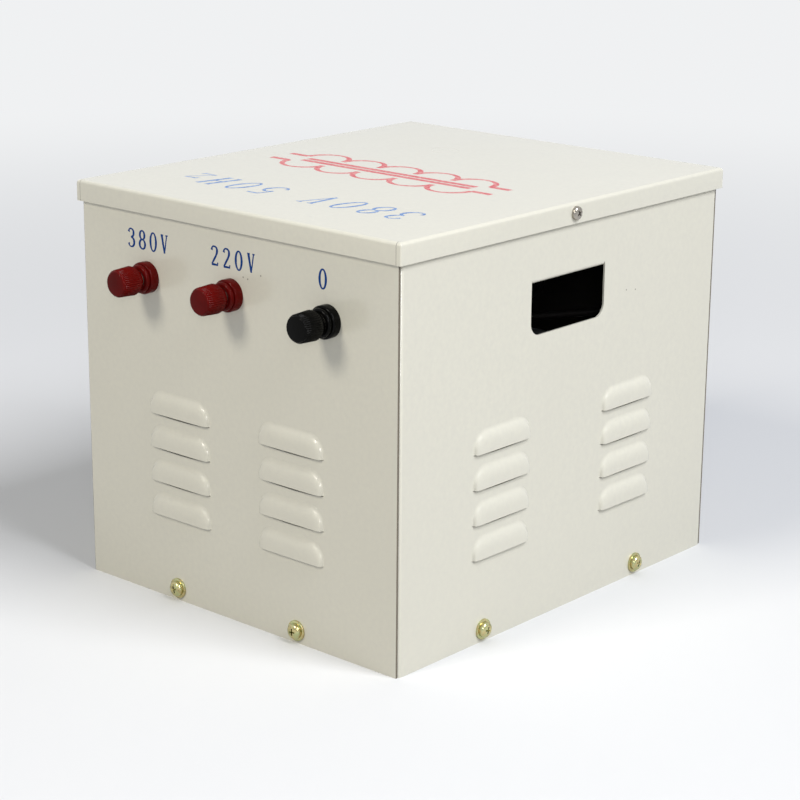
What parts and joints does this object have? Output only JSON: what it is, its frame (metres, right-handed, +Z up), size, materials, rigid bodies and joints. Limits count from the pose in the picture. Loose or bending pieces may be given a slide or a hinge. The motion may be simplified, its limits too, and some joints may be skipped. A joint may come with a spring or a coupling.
{
  "type": "electrical transformer",
  "caption": "Cream sheet-metal box holding a laminated-core transformer, with screw-cap binding posts on both ends, louvres on every side and carrying slots.",
  "frame": {"origin": "centre of the footprint, on the surface that the case stands on", "axes": "+Z up; -Y out of the face with the marked high-voltage posts; +X out of the right-hand face with a carrying slot"},
  "size_m": [0.2664, 0.3512, 0.25],
  "materials": {
    "cream_paint": "semi-gloss ivory enamel",
    "grey_paint": "satin grey enamel",
    "plated_screw": "bright nickel plate",
    "yellow_zinc": "yellow passivated zinc",
    "plain_steel": "plain steel",
    "core_steel": "varnished electrical steel",
    "red_moulding": "glossy dark red phenolic",
    "black_moulding": "glossy black phenolic",
    "brass": "turned brass",
    "nickel_plate": "nickel plate",
    "tinned_copper": "tinned copper",
    "enamelled_copper": "enamelled copper wire",
    "pressboard": "brown pressboard",
    "yellow_tape": "varnished yellow tape",
    "black_lead": "black insulated wire"
  },
  "bodies": {
    "case": {"base_pan": "cream_paint", "front_panel": "cream_paint", "rear_panel": "cream_paint", "side_panel_right": "cream_paint", "side_panel_left": "cream_paint", "lid": "cream_paint", "lid_screws": "plated_screw", "base_screws": "yellow_zinc", "base_washers": "yellow_zinc", "base_weld_nuts": "plain_steel", "post_collar_front_left": "red_moulding", "post_stud_front_left": "brass", "lead_front_left": "black_lead", "post_collar_front_middle": "red_moulding", "post_stud_front_middle": "brass", "lead_front_middle": "black_lead", "post_collar_front_right": "black_moulding", "post_stud_front_right": "brass", "lead_front_right": "black_lead", "post_collar_rear_left": "red_moulding", "post_stud_rear_left": "brass", "lead_rear_left": "black_lead", "post_collar_rear_middle": "red_moulding", "post_stud_rear_middle": "brass", "lead_rear_middle": "black_lead", "post_collar_rear_right": "black_moulding", "post_stud_rear_right": "brass", "lead_rear_right": "black_lead", "post_bushes": "black_moulding", "post_washers": "nickel_plate", "post_nuts": "brass", "ring_lugs": "tinned_copper", "core_laminations": "core_steel", "coil_former": "pressboard", "primary_winding": "enamelled_copper", "winding_barrier": "pressboard", "secondary_winding": "enamelled_copper", "coil_wrap": "yellow_tape", "lower_clamp_front": "grey_paint", "upper_clamp_front": "grey_paint", "lower_clamp_rear": "grey_paint", "upper_clamp_rear": "grey_paint", "core_bolts": "yellow_zinc", "core_nuts": "yellow_zinc", "core_washers": "yellow_zinc", "pan_studs": "plain_steel", "pan_nuts": "yellow_zinc"},
    "ring_front_left": {"post_ring_front_left": "nickel_plate"},
    "cap_front_left": {"post_cap_front_left": "red_moulding"},
    "ring_front_middle": {"post_ring_front_middle": "nickel_plate"},
    "cap_front_middle": {"post_cap_front_middle": "red_moulding"},
    "ring_front_right": {"post_ring_front_right": "nickel_plate"},
    "cap_front_right": {"post_cap_front_right": "black_moulding"},
    "ring_rear_left": {"post_ring_rear_left": "nickel_plate"},
    "cap_rear_left": {"post_cap_rear_left": "red_moulding"},
    "ring_rear_middle": {"post_ring_rear_middle": "nickel_plate"},
    "cap_rear_middle": {"post_cap_rear_middle": "red_moulding"},
    "ring_rear_right": {"post_ring_rear_right": "nickel_plate"},
    "cap_rear_right": {"post_cap_rear_right": "black_moulding"}
  },
  "joints": [
    {"name": "lift_front_left", "type": "slide", "parent": "case", "child": "ring_front_left", "axis": [0, -1, 0], "range_m": [0, 0.005]},
    {"name": "turn_front_left", "type": "hinge", "parent": "ring_front_left", "child": "cap_front_left", "pos_m": [-0.071, -0.15, 0.1988], "axis": [0, -1, 0], "range_deg": [0, 1800]},
    {"name": "lift_front_middle", "type": "slide", "parent": "case", "child": "ring_front_middle", "axis": [0, -1, 0], "range_m": [0, 0.005]},
    {"name": "turn_front_middle", "type": "hinge", "parent": "ring_front_middle", "child": "cap_front_middle", "pos_m": [-0.0005, -0.15, 0.1998], "axis": [0, -1, 0], "range_deg": [0, 1800]},
    {"name": "lift_front_right", "type": "slide", "parent": "case", "child": "ring_front_right", "axis": [0, -1, 0], "range_m": [0, 0.005]},
    {"name": "turn_front_right", "type": "hinge", "parent": "ring_front_right", "child": "cap_front_right", "pos_m": [0.0755, -0.15, 0.1976], "axis": [0, -1, 0], "range_deg": [0, 1800]},
    {"name": "lift_rear_left", "type": "slide", "parent": "case", "child": "ring_rear_left", "axis": [0, 1, 0], "range_m": [0, 0.005]},
    {"name": "turn_rear_left", "type": "hinge", "parent": "ring_rear_left", "child": "cap_rear_left", "pos_m": [0.071, 0.15, 0.1988], "axis": [0, 1, 0], "range_deg": [0, 1800]},
    {"name": "lift_rear_middle", "type": "slide", "parent": "case", "child": "ring_rear_middle", "axis": [0, 1, 0], "range_m": [0, 0.005]},
    {"name": "turn_rear_middle", "type": "hinge", "parent": "ring_rear_middle", "child": "cap_rear_middle", "pos_m": [0.0005, 0.15, 0.1998], "axis": [0, 1, 0], "range_deg": [0, 1800]},
    {"name": "lift_rear_right", "type": "slide", "parent": "case", "child": "ring_rear_right", "axis": [0, 1, 0], "range_m": [0, 0.005]},
    {"name": "turn_rear_right", "type": "hinge", "parent": "ring_rear_right", "child": "cap_rear_right", "pos_m": [-0.0755, 0.15, 0.1976], "axis": [0, 1, 0], "range_deg": [0, 1800]}
  ],
  "couplings": [
    {"joint": "lift_front_left", "follows": "turn_front_left", "m_per_rad": 0.00015915},
    {"joint": "lift_front_middle", "follows": "turn_front_middle", "m_per_rad": 0.00015915},
    {"joint": "lift_front_right", "follows": "turn_front_right", "m_per_rad": 0.00015915},
    {"joint": "lift_rear_left", "follows": "turn_rear_left", "m_per_rad": 0.00015915},
    {"joint": "lift_rear_middle", "follows": "turn_rear_middle", "m_per_rad": 0.00015915},
    {"joint": "lift_rear_right", "follows": "turn_rear_right", "m_per_rad": 0.00015915}
  ]
}
